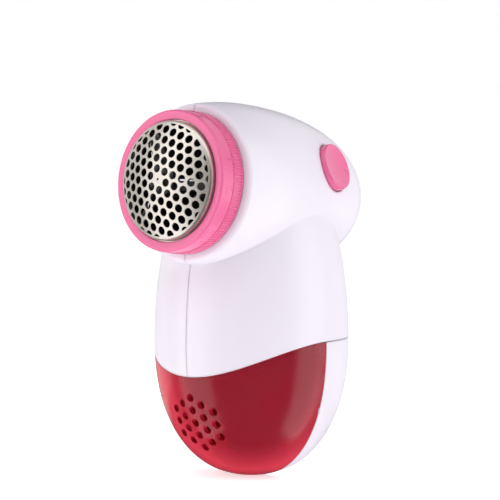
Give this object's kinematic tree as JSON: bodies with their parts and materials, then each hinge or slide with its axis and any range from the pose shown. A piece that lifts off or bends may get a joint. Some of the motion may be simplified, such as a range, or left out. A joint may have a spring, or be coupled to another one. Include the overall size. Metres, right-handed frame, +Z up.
{
  "type": "fabric shaver",
  "caption": "Hand-held battery fabric shaver: pod head with domed perforated foil in a ribbed ring, round power button, egg-shaped grip and a clear vented lint bin.",
  "frame": {"origin": "centre of the small round flat that the shaver stands on, under the grip", "axes": "+Z up the grip, the foil faces -Y and looks 5.6 degrees up, +X is the side with the power button"},
  "size_m": [0.0604, 0.0866, 0.1151],
  "materials": {
    "white_abs": "gloss",
    "pink_abs": "gloss",
    "red_clear": "gloss",
    "foil_steel": "satin",
    "blade_steel": "satin",
    "black_plastic": "matte",
    "grey_plastic": "matte",
    "white_inner": "satin",
    "spring_steel": "satin",
    "motor_steel": "satin",
    "magnet": "matte",
    "brass": "satin",
    "copper": "satin",
    "cell_jacket": "satin",
    "nickel": "satin",
    "wire_red": "satin",
    "wire_black": "satin"
  },
  "bodies": {
    "housing": {"left_housing": "white_abs", "right_housing": "white_abs", "housing_screws": "nickel", "cutter_chamber": "black_plastic", "motor_can": "motor_steel", "motor_bushes": "brass", "motor_magnets": "magnet", "motor_end_cap": "black_plastic", "motor_terminals": "brass", "switch_body": "black_plastic", "switch_terminals": "brass", "switch_bracket": "white_inner", "switch_screws": "nickel", "battery_holder": "white_inner", "battery_left": "cell_jacket", "battery_right": "cell_jacket", "contact_bridge": "nickel", "contact_plates": "nickel", "contact_springs": "spring_steel", "red_wire": "wire_red", "black_wire": "wire_black", "motor_wire": "wire_red"},
    "foil": {"shaving_foil": "foil_steel"},
    "ring": {"foil_ring": "pink_abs"},
    "rotor": {"motor_shaft": "blade_steel", "motor_armature": "motor_steel", "motor_windings": "copper", "motor_commutator": "copper", "cutter_spindle": "grey_plastic", "cutter_spring": "spring_steel"},
    "cutter": {"cutter_hub": "black_plastic", "cutter_blades": "blade_steel"},
    "button": {"power_button": "pink_abs", "switch_plunger": "black_plastic", "button_spring": "spring_steel"},
    "bin": {"lint_bin": "red_clear"},
    "cover": {"battery_cover": "white_abs"}
  },
  "joints": [
    {"name": "foil_travel", "type": "slide", "parent": "housing", "child": "foil", "axis": [0, -0.9952, 0.0976], "range_m": [0, 0.016]},
    {"name": "ring_turn", "type": "hinge", "parent": "foil", "child": "ring", "pos_m": [0, -0.0381, 0.09155], "axis": [0, -0.9952, 0.0976], "range_deg": [0, 400]},
    {"name": "cutter_spin", "type": "hinge", "parent": "housing", "child": "rotor", "pos_m": [0, -0.0381, 0.09155], "axis": [0, -0.9952, 0.0976], "continuous": true},
    {"name": "cutter_float", "type": "slide", "parent": "rotor", "child": "cutter", "axis": [0, 0.9952, -0.0976], "range_m": [0, 0.0008], "stiffness_N_per_m": 600, "deforming": ["cutter_spring"]},
    {"name": "button_press", "type": "slide", "parent": "housing", "child": "button", "axis": [-0.9254, -0.1955, -0.3248], "range_m": [0, 0.0015], "stiffness_N_per_m": 1200, "deforming": ["button_spring"]},
    {"name": "bin_slide", "type": "slide", "parent": "housing", "child": "bin", "axis": [0, 0, -1], "range_m": [0, 0.05]},
    {"name": "cover_slide", "type": "slide", "parent": "housing", "child": "cover", "axis": [0, 0, -1], "range_m": [0, 0.05]}
  ],
  "couplings": [
    {"joint": "ring_turn", "follows": "foil_travel", "rad_per_m": 436.33}
  ]
}
